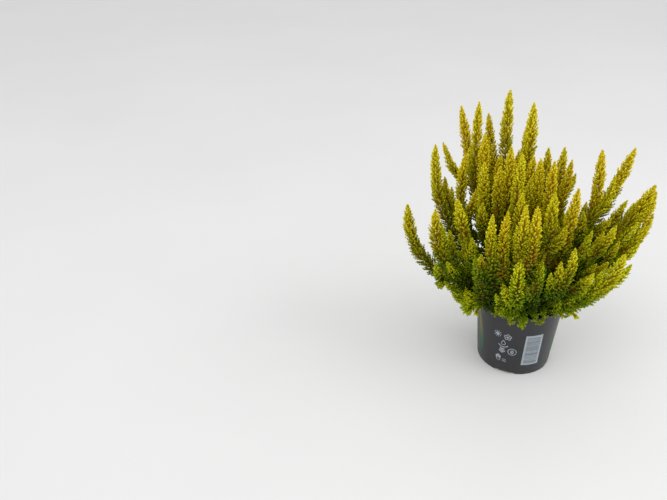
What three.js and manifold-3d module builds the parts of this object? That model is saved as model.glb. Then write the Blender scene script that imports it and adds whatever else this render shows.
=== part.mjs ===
// A golden heather in its round nursery pot, in millimetres, +Z up.
// The origin is the middle of the pot's underside, on the surface that the pot stands on.
// -Y is the side that faces the viewer and +X is to the viewer's right.
import * as THREE from 'three';
import { mergeVertices } from 'three/addons/utils/BufferGeometryUtils.js';
import Module from 'manifold-3d';

const wasm = await Module();
wasm.setup();

// Pot: a 10.5 cm nursery pot with a small lip, a foot ring and a raised floor
const POT_HEIGHT = 91.5;
const POT_TOP_RADIUS = 52.5;
const POT_BASE_RADIUS = 44.3;
const POT_WALL = 1.2;
const POT_SIDES = 56;
const LIP_PROUD = 0.7;
const LIP_HEIGHT = 3;
const FOOT_HEIGHT = 2.6;
const FOOT_WIDTH = 2.4;
const FOOT_BEVEL = 0.8;
const PAD_RADIUS = 9;
const PAD_SLOPE = 1.5;

// Openings under the pot: arches through the foot ring, and drain holes in the floor
const ARCH_COUNT = 4;
const ARCH_WIDTH = 25;
const ARCH_CORNER = 1.6;
const ARCH_CORNER_STEPS = 3;
const ARCH_DEPTH = 9.6;
const ARCH_AZIMUTH = -117;
const HOLE_RADIUS = 4;
const HOLE_SIDES = 16;
const OUTER_HOLES_AT = 33;
const INNER_HOLES_AT = 21;
// How far a cutter runs past the face that it cuts
const CUT_PAST = 1;

// Root ball and woody crown
const GAP = 0.3;
const SOIL_TOP = 82;
const SOIL_EDGE_DROP = 2;
const CROWN_RADIUS = 33;
const CROWN_EDGE = 2;
const CROWN_HEIGHT = 7;
const CROWN_SIDES = 32;
const CROWN_RINGS = 5;

// Shoots: a bare stem below, a leafy plume above that tapers to a point
const STEM_RADIUS = 1.1;
const PLUME_RADIUS = 8;
const PLUME_STARTS = 0.16;
const PLUME_FULL = 0.52;
const PLUME_TAPERS = 0.66;
const PLUME_BLUNTNESS = 0.85;
const PLUME_SIDES = 8;
const PLUME_RINGS = 9;
const PLUME_SPACING = 0.8;
const RIM_SPACING = 2.5;
const ROOTED_WITHIN = 29;
const ROOT_SPACING = 4;
const ROOT_ROUNDS = 300;
const WIDEST_LEAN = 62;
const NARROWEST = 0.7;
// Straight lengths that stand for a stem where the room beside it is measured
const STEM_STEPS = 30;

// Where each shoot in sight ends, from the pot's axis, and where its stem turns upwards,
// as shares of the way out and of the way up. A stem leaves the crown below its tip's
// azimuth, or at the azimuth given as from.
const ERECT = [1, 0.34];
const ARCHED = [0.98, 0.22];
const SLANTED = [0.75, 0.5];
const SHOOTS_IN_SIGHT = [
  { name: 'left_low', tip: [-140, 15, 212], turn: [0.95, 0.14] },
  { name: 'left_outer', tip: [-116, -32, 229], turn: ARCHED },
  { name: 'left_front', tip: [-96, -46, 247], turn: [0.8, 0.38] },
  { name: 'left_back', tip: [-106, 47, 271], turn: [0.97, 0.3] },
  { name: 'left_inner', tip: [-75, 26, 267], turn: [1.2, 0.35] },
  { name: 'left_rim_a', tip: [-68, -56, 184], turn: [1, 0.1] },
  { name: 'left_rim_b', tip: [-83, -8, 161], turn: SLANTED },
  { name: 'left_rim_c', tip: [-75, -29, 120], turn: [0.88, 0.45] },
  { name: 'front_fork_a', tip: [-65, -75, 243], turn: [1.1, 0.3] },
  { name: 'front_fork_b', tip: [-51, -78, 247], turn: [1.1, 0.3] },
  { name: 'front_twin_a', tip: [-37, -90, 260], turn: ERECT },
  { name: 'front_twin_b', tip: [-27, -93, 260], turn: ERECT },
  { name: 'front_low', tip: [-34, -86, 196], turn: ARCHED, from: -150 },
  { name: 'front_short', tip: [-11, -83, 192], turn: ARCHED },
  { name: 'front_right', tip: [-7, -80, 268], turn: ERECT },
  { name: 'front_inner', tip: [-33, -61, 259], turn: ERECT },
  { name: 'mid_a', tip: [-61, -5, 270], turn: ERECT },
  { name: 'mid_b', tip: [-57, 20, 293], turn: [0.9, 0.35] },
  { name: 'mid_c', tip: [-45, -11, 266], turn: ERECT },
  { name: 'mid_d', tip: [-36, -14, 290], turn: ERECT },
  { name: 'mid_e', tip: [-32, -42, 293], turn: ERECT },
  { name: 'mid_f', tip: [-10, -33, 284], turn: ERECT },
  { name: 'mid_g', tip: [1, -43, 285], turn: ERECT },
  { name: 'top_a', tip: [-61, 42, 321], turn: [1.1, 0.35] },
  { name: 'top_b', tip: [-45, 60, 301], turn: SLANTED },
  { name: 'top_c', tip: [-73, 78, 305], turn: SLANTED },
  { name: 'top_d', tip: [-12, 5, 331], turn: ERECT },
  { name: 'top_e', tip: [-26, 49, 331], turn: ERECT },
  { name: 'right_a', tip: [16, -78, 271], turn: ERECT },
  { name: 'right_b', tip: [35, -3, 268], turn: SLANTED },
  { name: 'right_tall', tip: [58, -20, 286], turn: [1.25, 0.36] },
  { name: 'right_fork', tip: [95, -15, 284], turn: [0.7, 0.5] },
  { name: 'right_outer', tip: [117, -32, 248], turn: [0.8, 0.5] },
  { name: 'right_outer_b', tip: [123, 5, 212], turn: SLANTED },
  { name: 'right_outer_c', tip: [111, 9, 210], turn: SLANTED },
  { name: 'right_side', tip: [70, -61, 217], turn: [0.8, 0.55] },
  { name: 'right_lower', tip: [116, -40, 203], turn: [0.7, 0.5] },
  { name: 'right_low', tip: [74, -84, 195], turn: [0.78, 0.12], from: -78 },
  { name: 'right_rim', tip: [44, -87, 175], turn: SLANTED },
  { name: 'right_front', tip: [21, -84, 205], turn: ERECT },
];

// The far side: rings of shoots, evenly spread between two azimuths
const RINGS_OUT_OF_SIGHT = [
  { name: 'back_outer', count: 7, from: 28, to: 150, reach: 112, heights: [165, 215], turn: [0.9, 0.33] },
  { name: 'back_middle', count: 6, from: 12, to: 112, reach: 74, heights: [195, 250], turn: ERECT },
  { name: 'back_inner', count: 3, from: 20, to: 100, reach: 38, heights: [265, 290], turn: ERECT },
];
const RING_SWAY = 12;

const POT_FINISH = { color: 0x3a3b3f, roughness: 0.45, metalness: 0 };
const SOIL_FINISH = { color: 0x2b1d14, roughness: 1, metalness: 0 };
const WOOD_FINISH = { color: 0x4a3322, roughness: 0.9, metalness: 0 };
const FOLIAGE_FINISH = { roughness: 0.8, metalness: 0 };
const FOLIAGE_COLOURS = [0xa9a013, 0x8f9416, 0xc0ab1c];

// Vertices nearer than this are one vertex
const MERGE_WITHIN = 1e-4;

const radians = THREE.MathUtils.degToRad;

function named(name, geometry, finish) {
  const mesh = new THREE.Mesh(geometry, new THREE.MeshStandardMaterial(finish));
  mesh.name = name;
  return mesh;
}

// A shape of revolution about Z from a profile of [radius, height] points
function turned(profile, sides) {
  const points = profile.map(([radius, height]) => new THREE.Vector2(radius, height));
  return new THREE.LatheGeometry(points, sides).rotateX(Math.PI / 2);
}

function toSolid(geometry) {
  const bare = geometry.index ? geometry.toNonIndexed() : geometry.clone();
  bare.deleteAttribute('normal');
  bare.deleteAttribute('uv');
  const merged = mergeVertices(bare, MERGE_WITHIN);
  const mesh = new wasm.Mesh({
    numProp: 3,
    vertProperties: merged.getAttribute('position').array,
    triVerts: new Uint32Array(merged.index.array),
  });
  return new wasm.Manifold(mesh);
}

function toGeometry(solid) {
  const mesh = solid.getMesh();
  const geometry = new THREE.BufferGeometry();
  geometry.setAttribute('position', new THREE.BufferAttribute(mesh.vertProperties, 3));
  geometry.setIndex(new THREE.BufferAttribute(mesh.triVerts, 1));
  geometry.computeVertexNormals();
  return geometry;
}

// Radius of the pot's outside at a height, without the lip
function potRadiusAt(height) {
  const top = POT_TOP_RADIUS - LIP_PROUD;
  return POT_BASE_RADIUS + ((top - POT_BASE_RADIUS) * height) / POT_HEIGHT;
}

function potBody() {
  const floor = FOOT_HEIGHT + POT_WALL;
  const underLip = POT_HEIGHT - LIP_HEIGHT;
  const padTop = PAD_RADIUS - POT_WALL / 2;
  return turned(
    [
      [0, 0],
      [PAD_RADIUS, 0],
      [PAD_RADIUS + PAD_SLOPE, FOOT_HEIGHT],
      [POT_BASE_RADIUS - FOOT_WIDTH - FOOT_BEVEL, FOOT_HEIGHT],
      [POT_BASE_RADIUS - FOOT_WIDTH, 0],
      [POT_BASE_RADIUS - FOOT_BEVEL, 0],
      [potRadiusAt(FOOT_BEVEL), FOOT_BEVEL],
      [potRadiusAt(underLip), underLip],
      [POT_TOP_RADIUS, underLip + LIP_PROUD],
      [POT_TOP_RADIUS, POT_HEIGHT - LIP_PROUD / 2],
      [POT_TOP_RADIUS - LIP_PROUD / 2, POT_HEIGHT],
      [potRadiusAt(POT_HEIGHT) - POT_WALL, POT_HEIGHT],
      [potRadiusAt(floor) - POT_WALL, floor],
      [padTop + PAD_SLOPE, floor],
      [padTop, POT_WALL],
      [0, POT_WALL],
    ],
    POT_SIDES,
  );
}

// A low arch with round upper corners that runs through the foot ring, standing on Z = 0
function footArch() {
  const half = ARCH_WIDTH / 2;
  const shape = new THREE.Shape();
  shape.moveTo(-half, -CUT_PAST);
  shape.lineTo(half, -CUT_PAST);
  shape.lineTo(half, FOOT_HEIGHT - ARCH_CORNER);
  shape.absarc(half - ARCH_CORNER, FOOT_HEIGHT - ARCH_CORNER, ARCH_CORNER, 0, Math.PI / 2);
  shape.absarc(ARCH_CORNER - half, FOOT_HEIGHT - ARCH_CORNER, ARCH_CORNER, Math.PI / 2, Math.PI);
  shape.closePath();
  const arch = new THREE.ExtrudeGeometry(shape, {
    depth: ARCH_DEPTH,
    bevelEnabled: false,
    curveSegments: ARCH_CORNER_STEPS,
  });
  arch.rotateX(Math.PI / 2);
  arch.rotateZ(Math.PI / 2);
  return arch.translate(POT_BASE_RADIUS + FOOT_WIDTH - ARCH_DEPTH, 0, 0);
}

function drainHole(distance) {
  const length = POT_WALL + 2 * CUT_PAST;
  const hole = new THREE.CylinderGeometry(HOLE_RADIUS, HOLE_RADIUS, length, HOLE_SIDES);
  return hole.rotateX(Math.PI / 2).translate(distance, 0, FOOT_HEIGHT + POT_WALL / 2);
}

function pot() {
  let solid = toSolid(potBody());
  for (let i = 0; i < ARCH_COUNT; i += 1) {
    const turn = radians(ARCH_AZIMUTH + (i * 360) / ARCH_COUNT);
    const between = turn + Math.PI / ARCH_COUNT;
    solid = solid.subtract(toSolid(footArch().rotateZ(turn)));
    solid = solid.subtract(toSolid(drainHole(OUTER_HOLES_AT).rotateZ(turn)));
    solid = solid.subtract(toSolid(drainHole(INNER_HOLES_AT).rotateZ(between)));
  }
  return named('pot', toGeometry(solid), POT_FINISH);
}

function pottingSoil() {
  const bottom = FOOT_HEIGHT + POT_WALL + GAP;
  const inside = POT_WALL + GAP;
  const edge = SOIL_TOP - SOIL_EDGE_DROP;
  const geometry = turned(
    [
      [0, bottom],
      [potRadiusAt(bottom) - inside, bottom],
      [potRadiusAt(edge) - inside, edge],
      [CROWN_RADIUS, SOIL_TOP],
      [0, SOIL_TOP],
    ],
    POT_SIDES,
  );
  return named('potting_soil', geometry, SOIL_FINISH);
}

// Height of the crown's top at a distance from its middle
function crownTopAt(distance) {
  const share = Math.min(distance / CROWN_RADIUS, 1);
  const rise = CROWN_HEIGHT - CROWN_EDGE;
  return SOIL_TOP + GAP + CROWN_EDGE + rise * (1 - share * share);
}

function woodyCrown() {
  const bottom = SOIL_TOP + GAP;
  const profile = [
    [0, bottom],
    [CROWN_RADIUS, bottom],
  ];
  for (let i = CROWN_RINGS; i >= 0; i -= 1) {
    const distance = (i * CROWN_RADIUS) / CROWN_RINGS;
    profile.push([distance, crownTopAt(distance)]);
  }
  return named('woody_crown', turned(profile, CROWN_SIDES), WOOD_FINISH);
}

function shootsOutOfSight() {
  return RINGS_OUT_OF_SIGHT.flatMap((ring) =>
    Array.from({ length: ring.count }, (_, i) => {
      const share = i / (ring.count - 1);
      const azimuth = radians(THREE.MathUtils.lerp(ring.from, ring.to, share));
      const sway = i % 2 === 0 ? RING_SWAY : -RING_SWAY;
      const reach = ring.reach - sway / 2;
      const height = THREE.MathUtils.lerp(...ring.heights, share) + sway;
      const tip = [reach * Math.cos(azimuth), reach * Math.sin(azimuth), height];
      return { name: `${ring.name}_${i + 1}`, tip, turn: ring.turn };
    }),
  );
}

// Where a shoot leaves the crown: the more it leans, the further out
function rootOf(tip, from) {
  const lean = Math.atan2(Math.hypot(tip.x, tip.y), tip.z - SOIL_TOP);
  const distance = ROOTED_WITHIN * Math.min(1, lean / radians(WIDEST_LEAN));
  const azimuth = from === undefined ? Math.atan2(tip.y, tip.x) : radians(from);
  return new THREE.Vector2(distance * Math.cos(azimuth), distance * Math.sin(azimuth));
}

// Move the roots apart until neighbours keep their spacing, all within the crown
function spreadRoots(roots) {
  for (let round = 0; round < ROOT_ROUNDS; round += 1) {
    roots.forEach((a, i) => {
      roots.slice(i + 1).forEach((b) => {
        const apart = b.clone().sub(a);
        const short = ROOT_SPACING - apart.length();
        if (short <= 0) return;
        apart.setLength(short / 2);
        a.sub(apart);
        b.add(apart);
      });
      a.clampLength(0, ROOTED_WITHIN);
    });
  }
}

// A stem from just above the crown, clear of it under the stem's inner edge, to the tip
function stemCurve(root, tip, turn) {
  const innerEdge = root.length() - STEM_RADIUS;
  const start = new THREE.Vector3(root.x, root.y, crownTopAt(innerEdge) + GAP);
  const [out, up] = turn;
  const middle = new THREE.Vector3(
    start.x + (tip.x - start.x) * out,
    start.y + (tip.y - start.y) * out,
    start.z + (tip.z - start.z) * up,
  );
  return new THREE.QuadraticBezierCurve3(start, middle, tip);
}

// The plume's radius at a share of the way from root to tip, before neighbours crowd it
function plumeRadius(share) {
  if (share <= PLUME_STARTS) return STEM_RADIUS;
  if (share < PLUME_FULL) {
    const grown = THREE.MathUtils.smoothstep(share, PLUME_STARTS, PLUME_FULL);
    return STEM_RADIUS + (PLUME_RADIUS - STEM_RADIUS) * grown;
  }
  if (share < PLUME_TAPERS) return PLUME_RADIUS;
  const left = (1 - share) / (1 - PLUME_TAPERS);
  return PLUME_RADIUS * Math.pow(left, PLUME_BLUNTNESS);
}

// How far a point lies from the nearest stem but its own
function nearest(point, lines, own) {
  let least = Infinity;
  const line = new THREE.Line3();
  const foot = new THREE.Vector3();
  for (const [i, points] of lines.entries()) {
    if (i === own) continue;
    for (let k = 1; k < points.length; k += 1) {
      line.set(points[k - 1], points[k]);
      line.closestPointToPoint(point, true, foot);
      least = Math.min(least, foot.distanceTo(point));
    }
  }
  return least;
}

// How far a point lies from the pot's rim
function fromRim(point) {
  const outwards = Math.hypot(point.x, point.y) - potRadiusAt(POT_HEIGHT);
  return Math.hypot(outwards, point.z - POT_HEIGHT);
}

// The plume before it is bent: turned about Y, with Y as the share of the way along the stem
function straightPlume(curve, lines, own) {
  const profile = [new THREE.Vector2(0, 0)];
  for (let i = 0; i < PLUME_RINGS; i += 1) {
    const share = i / PLUME_RINGS;
    const centre = curve.getPointAt(share);
    const fromNeighbour = (nearest(centre, lines, own) - PLUME_SPACING) / 2;
    const room = Math.min(fromNeighbour, fromRim(centre) - RIM_SPACING);
    const radius = Math.max(NARROWEST, Math.min(plumeRadius(share), room));
    profile.push(new THREE.Vector2(radius, share));
  }
  profile.push(new THREE.Vector2(0, 1));
  return new THREE.LatheGeometry(profile, PLUME_SIDES);
}

// Bends a straight plume onto its stem, which then starts at the plume's own origin
function bentPlume(geometry, curve) {
  const chord = curve.v2.clone().sub(curve.v0);
  const side = new THREE.Vector3(-chord.y, chord.x, 0).normalize();
  const upright = new THREE.Vector3(0, 0, 1);
  const position = geometry.getAttribute('position');
  const vertex = new THREE.Vector3();
  for (let i = 0; i < position.count; i += 1) {
    vertex.fromBufferAttribute(position, i);
    const share = THREE.MathUtils.clamp(vertex.y, 0, 1);
    const along = share === 0 ? upright : curve.getTangentAt(share);
    const out = new THREE.Vector3().crossVectors(side, along).normalize();
    const across = new THREE.Vector3().crossVectors(along, out);
    const centre = curve.getPointAt(share).sub(curve.v0);
    centre.addScaledVector(out, vertex.x).addScaledVector(across, -vertex.z);
    position.setXYZ(i, centre.x, centre.y, centre.z);
  }
  geometry.computeVertexNormals();
  return geometry;
}

function shoots() {
  const list = [...SHOOTS_IN_SIGHT, ...shootsOutOfSight()];
  const tips = list.map((shoot) => new THREE.Vector3(...shoot.tip));
  const roots = list.map((shoot, i) => rootOf(tips[i], shoot.from));
  spreadRoots(roots);
  const curves = list.map((shoot, i) => stemCurve(roots[i], tips[i], shoot.turn));
  const lines = curves.map((curve) => curve.getSpacedPoints(STEM_STEPS));
  return list.map((shoot, i) => {
    const color = FOLIAGE_COLOURS[i % FOLIAGE_COLOURS.length];
    const plume = bentPlume(straightPlume(curves[i], lines, i), curves[i]);
    const mesh = named(`shoot_${shoot.name}`, plume, { color, ...FOLIAGE_FINISH });
    mesh.position.copy(curves[i].v0);
    return mesh;
  });
}

const group = new THREE.Group();
group.add(pot(), pottingSoil(), woodyCrown(), ...shoots());

export default group;
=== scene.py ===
import math

import bmesh
import bpy
import numpy as np
from mathutils import Matrix, Vector, noise


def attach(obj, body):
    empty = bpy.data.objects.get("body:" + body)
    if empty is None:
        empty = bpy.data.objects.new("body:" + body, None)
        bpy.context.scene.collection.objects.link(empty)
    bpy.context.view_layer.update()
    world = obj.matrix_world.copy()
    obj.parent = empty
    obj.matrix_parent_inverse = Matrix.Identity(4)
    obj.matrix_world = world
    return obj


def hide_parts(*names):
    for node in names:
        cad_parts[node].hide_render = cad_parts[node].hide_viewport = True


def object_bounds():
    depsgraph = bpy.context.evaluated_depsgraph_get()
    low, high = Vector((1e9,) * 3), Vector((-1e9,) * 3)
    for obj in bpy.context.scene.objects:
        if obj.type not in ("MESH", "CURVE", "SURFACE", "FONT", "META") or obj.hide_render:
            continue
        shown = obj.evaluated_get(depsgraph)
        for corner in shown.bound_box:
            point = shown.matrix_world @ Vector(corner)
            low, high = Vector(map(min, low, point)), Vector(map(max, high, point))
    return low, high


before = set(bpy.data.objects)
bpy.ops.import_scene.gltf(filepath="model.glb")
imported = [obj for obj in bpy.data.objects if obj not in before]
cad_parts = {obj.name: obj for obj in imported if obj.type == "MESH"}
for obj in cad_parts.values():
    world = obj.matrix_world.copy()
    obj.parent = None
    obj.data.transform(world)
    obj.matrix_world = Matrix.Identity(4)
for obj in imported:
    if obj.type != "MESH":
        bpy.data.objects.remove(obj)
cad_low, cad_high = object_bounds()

# A golden heather in its nursery pot. Lengths are in metres, or in millimetres where a name ends in _MM or
# a comment says so.
# The frame is the CAD model's: +Z up, the pot's axis through the origin, -Y towards the viewer.
MM = 0.001

# Camera: where it stands, how far it looks down, how it is rolled, and its lens
CAMERA_AT_MM = (-227.0, -656.3, 559.3)
CAMERA_PITCH_DEG = 31.13
CAMERA_ROLL_DEG = 2.07
SENSOR_WIDTH = 36.0
FOCAL_PX = 656.3
FRAME_WIDTH_PX = 667

# Pot, as the CAD model has it
POT_HEIGHT = 91.5 * MM
POT_TOP_RADIUS = 52.5 * MM
POT_BASE_RADIUS = 44.3 * MM
POT_WALL = 1.2 * MM
POT_SIDES = 168
LIP_PROUD = 0.7 * MM
LIP_HEIGHT = 3.0 * MM
FOOT_HEIGHT = 2.6 * MM
FOOT_WIDTH = 2.4 * MM
FOOT_BEVEL = 0.8 * MM
PAD_RADIUS = 9.0 * MM
PAD_SLOPE = 1.5 * MM
ARCH_COUNT = 4
ARCH_WIDTH = 25.0 * MM
ARCH_CORNER = 1.6 * MM
ARCH_DEPTH = 9.6 * MM
ARCH_AZIMUTH_DEG = -117.0
HOLE_RADIUS = 4.0 * MM
OUTER_HOLES_AT = 33.0 * MM
INNER_HOLES_AT = 21.0 * MM

# Root ball, as the CAD model has it
GAP = 0.3 * MM
SOIL_TOP = 82.0 * MM
SOIL_EDGE_DROP = 2.0 * MM

SEED = 4711
UV_MAP = "OFBake"
UP = np.array([0.0, 0.0, 1.0])


def rng_for(name):
    """A random generator of the piece's own, so that one piece's changes leave the others alone."""
    return np.random.default_rng([SEED, *name.encode()])


def unit(v):
    return v / np.maximum(np.linalg.norm(v, axis=-1, keepdims=True), 1e-12)


def around(turn, across, over):
    """Directions at these angles from one direction towards another."""
    return np.cos(turn)[..., None] * across + np.sin(turn)[..., None] * over


def smooth(x, low, high):
    t = np.clip((x - low) / (high - low), 0, 1)
    return t * t * (3 - 2 * t)


# Meshes

# What the materials read at each vertex: see leaf_material
VERTEX_VALUES = ("age", "reach", "whim", "warm")


class Parts:
    """Collects closed bodies for one mesh: places, triangles, map places, material numbers and values."""

    def __init__(self):
        self.places, self.faces, self.maps, self.slots, self.smooths = [], [], [], [], []
        self.values = {name: [] for name in VERTEX_VALUES}
        self.count = 0

    def add(self, places, faces, maps, slot, smoothed, **values):
        self.places.append(places)
        self.faces.append(faces + self.count)
        self.maps.append(maps)
        self.slots.append(np.full(len(faces), slot))
        self.smooths.append(np.full(len(faces), smoothed))
        for name, kept in self.values.items():
            kept.append(np.broadcast_to(values.get(name, 0.0), len(places)))
        self.count += len(places)

    def mesh(self, name, materials):
        places, faces = np.concatenate(self.places), np.concatenate(self.faces).astype(np.int32)
        maps = np.concatenate(self.maps)
        mesh = bpy.data.meshes.new(name)
        mesh.vertices.add(len(places))
        mesh.vertices.foreach_set("co", places.astype(np.float32).ravel())
        mesh.loops.add(faces.size)
        mesh.loops.foreach_set("vertex_index", faces.ravel())
        mesh.polygons.add(len(faces))
        mesh.polygons.foreach_set("loop_start", np.arange(len(faces), dtype=np.int32) * 3)
        mesh.polygons.foreach_set("material_index", np.concatenate(self.slots).astype(np.int32))
        mesh.polygons.foreach_set("use_smooth", np.concatenate(self.smooths).astype(bool))
        corner_maps = maps[faces.ravel()].astype(np.float32)
        mesh.uv_layers.new(name=UV_MAP).data.foreach_set("uv", corner_maps.ravel())
        for value_name, kept in self.values.items():
            layer = mesh.attributes.new(value_name, "FLOAT", "POINT")
            layer.data.foreach_set("value", np.concatenate(kept).astype(np.float32))
        for material in materials:
            mesh.materials.append(material)
        mesh.update(calc_edges=True)
        return mesh


def solid(name, made, *materials):
    mesh = bpy.data.meshes.new(name)
    made.to_mesh(mesh)
    made.free()
    for material in materials:
        mesh.materials.append(material)
    return mesh


def linked(name, data):
    made = bpy.data.objects.new(name, data)
    bpy.context.scene.collection.objects.link(made)
    return made


def piece(name, mesh, slot, *nodes):
    """A piece of the object, on the one body, in place of these CAD nodes. Slot is not used."""
    made = linked(name, mesh)
    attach(made, "root")
    if nodes:
        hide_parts(*nodes)


# Materials

class Nodes:
    """A material's node tree, written as calls that return sockets."""

    def __init__(self, name):
        self.material = bpy.data.materials.new(name)
        self.material.use_nodes = True
        self.tree = self.material.node_tree
        self.shader = self.tree.nodes["Principled BSDF"]

    def make(self, kind, inputs=(), **settings):
        node = self.tree.nodes.new(kind)
        for key, value in settings.items():
            setattr(node, key, value)
        for key, value in dict(inputs).items():
            self.put(node.inputs[key], value)
        return node

    def put(self, socket, value):
        """Sets a socket from another socket, a number, or a colour of three numbers."""
        if isinstance(value, bpy.types.NodeSocket):
            self.tree.links.new(value, socket)
        elif isinstance(value, tuple):
            socket.default_value = (*value, 1.0)
        else:
            socket.default_value = value

    def attribute(self, name):
        return self.make("ShaderNodeAttribute", attribute_name=name).outputs["Fac"]

    def where(self):
        return self.make("ShaderNodeTexCoord").outputs["Object"]

    def height(self):
        return self.make("ShaderNodeSeparateXYZ", {"Vector": self.where()}).outputs["Z"]

    def noise(self, scale, detail=3.0, roughness=0.55):
        inputs = {"Scale": scale, "Detail": detail, "Roughness": roughness, "Vector": self.where()}
        return self.make("ShaderNodeTexNoise", inputs).outputs["Fac"]

    def math(self, operation, a, b=0.0, clamp=False):
        node = self.make("ShaderNodeMath", operation=operation, use_clamp=clamp)
        self.put(node.inputs[0], a)
        self.put(node.inputs[1], b)
        return node.outputs[0]

    def span(self, value, low, high, to_low=0.0, to_high=1.0):
        inputs = {"Value": value, "From Min": low, "From Max": high, "To Min": to_low, "To Max": to_high}
        return self.make("ShaderNodeMapRange", inputs).outputs["Result"]

    def ramp(self, value, stops):
        node = self.make("ShaderNodeValToRGB", {"Fac": value})
        stop_list = node.color_ramp.elements
        while len(stop_list) < len(stops):
            stop_list.new(0.5)
        for stop, (place, colour) in zip(stop_list, stops):
            stop.position = place
            stop.color = (*colour, 1.0)
        return node.outputs["Color"]

    def mix(self, share, a, b, blend="MIX"):
        node = self.make("ShaderNodeMix", data_type="RGBA", blend_type=blend)
        self.put(node.inputs[0], share)
        self.put(node.inputs[6], a)
        self.put(node.inputs[7], b)
        return node.outputs[2]

    def bump(self, height, strength, distance):
        inputs = {"Height": height, "Strength": strength, "Distance": distance}
        return self.make("ShaderNodeBump", inputs).outputs["Normal"]

    def finish(self, colour, roughness, normal=None, specular=0.5, **constants):
        self.put(self.shader.inputs["Base Color"], colour)
        self.put(self.shader.inputs["Roughness"], roughness)
        if normal is not None:
            self.put(self.shader.inputs["Normal"], normal)
        self.shader.inputs["Specular IOR Level"].default_value = specular
        for key, value in constants.items():
            self.shader.inputs[key.replace("_", " ")].default_value = value
        return self.material


def leaf_material():
    """Needle leaves: golden at young tips, green where old, rust-brown deep between the side shoots, and
    darker there and at each leaf's foot with older leaves and painted shade.

    Age runs from 0 at a tip to 1 deep down, and also holds painted shade low down and deep in the bush;
    reach runs from the inside of a side shoot to its outside, and warm from green to golden. Warm is below
    0 on fresh shoots, which have less rust. Whim is random.
    """
    n = Nodes("heather_leaf")
    age, reach, whim, warm = (n.attribute(a) for a in ("age", "reach", "whim", "warm"))
    stale = n.span(warm, -1.0, 0.0)
    patches = n.noise(38.0)
    shade = n.span(n.math("FRACT", n.math("MULTIPLY", whim, 7.3)), 0.0, 1.0, 0.83, 1.2)
    old = n.math("ADD", age, n.span(patches, 0.3, 0.7, -0.08, 0.08))
    old = n.math("ADD", old, n.span(whim, 0.0, 1.0, -0.13, 0.13), clamp=True)
    outer = n.ramp(old, [
        (0.0, (0.92, 0.84, 0.035)),
        (0.2, (0.66, 0.64, 0.012)),
        (0.45, (0.34, 0.41, 0.008)),
        (0.7, (0.14, 0.23, 0.006)),
        (1.0, (0.05, 0.095, 0.004)),
    ])
    # The inner colours, towards the stem and at each leaf's foot, are darker: partly older leaves, partly
    # painted shade between the side shoots
    inner = n.ramp(old, [
        (0.0, (0.47, 0.32, 0.008)),
        (0.35, (0.28, 0.18, 0.006)),
        (0.7, (0.09, 0.10, 0.004)),
        (1.0, (0.03, 0.05, 0.003)),
    ])
    inner = n.mix(stale, (0.13, 0.18, 0.006), inner)
    depth = n.math("SUBTRACT", n.span(reach, 0.05, 0.95), n.math("MULTIPLY", warm, 0.22), clamp=True)
    colour = n.mix(n.math("POWER", depth, 1.6), inner, outer)
    rust = n.math("MULTIPLY", n.span(n.noise(60.0, detail=2.0), 0.5, 0.66), n.span(old, 0.12, 0.4))
    rust = n.math("MULTIPLY", rust, n.span(depth, 0.2, 1.0, 0.85, 0.25))
    rust = n.math("MULTIPLY", rust, n.span(n.height(), 0.10, 0.17, 0.1, 1.0))
    rust = n.math("MULTIPLY", rust, stale)
    colour = n.mix(rust, colour, (0.34, 0.14, 0.012))
    grey = n.make("ShaderNodeCombineColor", {0: shade, 1: shade, 2: shade}).outputs[0]
    colour = n.mix(1.0, colour, grey, "MULTIPLY")
    cool = n.mix(stale, (0.96, 1.0, 0.8), (0.84, 1.0, 0.8))
    tint = n.mix(warm, cool, (1.1, 0.95, 0.6))
    colour = n.mix(1.0, colour, tint, "MULTIPLY")
    roughness = n.span(patches, 0.2, 0.8, 0.5, 0.68)
    return n.finish(colour, roughness, specular=0.16, Specular_Tint=(1.0, 0.9, 0.3, 1.0))


def bark_material():
    """Stems: red-brown and cracked below, thinner and greener towards the tip."""
    n = Nodes("heather_bark")
    age = n.attribute("age")
    grain = n.noise(420.0, detail=4.0)
    wood = n.ramp(grain, [
        (0.25, (0.045, 0.018, 0.010)),
        (0.55, (0.14, 0.055, 0.026)),
        (0.8, (0.26, 0.13, 0.06)),
    ])
    young = n.ramp(grain, [(0.3, (0.22, 0.13, 0.02)), (0.7, (0.42, 0.30, 0.03))])
    colour = n.mix(n.span(age, 0.35, 0.8), young, wood)
    return n.finish(colour, n.span(grain, 0.3, 0.7, 0.85, 0.65), n.bump(grain, 0.6, 0.0006), specular=0.3)


def pot_material():
    """Moulded charcoal plastic: satin, slightly cloudy and finely grained, with dust near the foot."""
    n = Nodes("charcoal_plastic")
    cloud = n.noise(26.0, detail=4.0)
    grain = n.noise(2400.0, detail=2.0)
    low = n.span(n.height(), 0.0, 0.022, 1.0, 0.0)
    dust = n.math("MULTIPLY", low, n.span(n.noise(160.0, detail=5.0), 0.45, 0.75), clamp=True)
    base = n.mix(n.span(cloud, 0.35, 0.65), (0.0185, 0.019, 0.0215), (0.0235, 0.024, 0.0275))
    colour = n.mix(n.math("MULTIPLY", dust, 0.3), base, (0.12, 0.11, 0.10))
    roughness = n.math("ADD", n.span(cloud, 0.3, 0.7, 0.32, 0.40), n.math("MULTIPLY", dust, 0.25))
    return n.finish(colour, roughness, n.bump(grain, 0.05, 0.0002), specular=0.42)


def peat_material():
    n = Nodes("moist_peat")
    crumb = n.noise(520.0, detail=6.0, roughness=0.65)
    colour = n.ramp(crumb, [
        (0.3, (0.012, 0.008, 0.006)),
        (0.55, (0.040, 0.025, 0.016)),
        (0.8, (0.10, 0.062, 0.036)),
    ])
    return n.finish(colour, n.span(crumb, 0.3, 0.7, 0.95, 0.8), n.bump(crumb, 0.8, 0.0012), specular=0.3)


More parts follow.
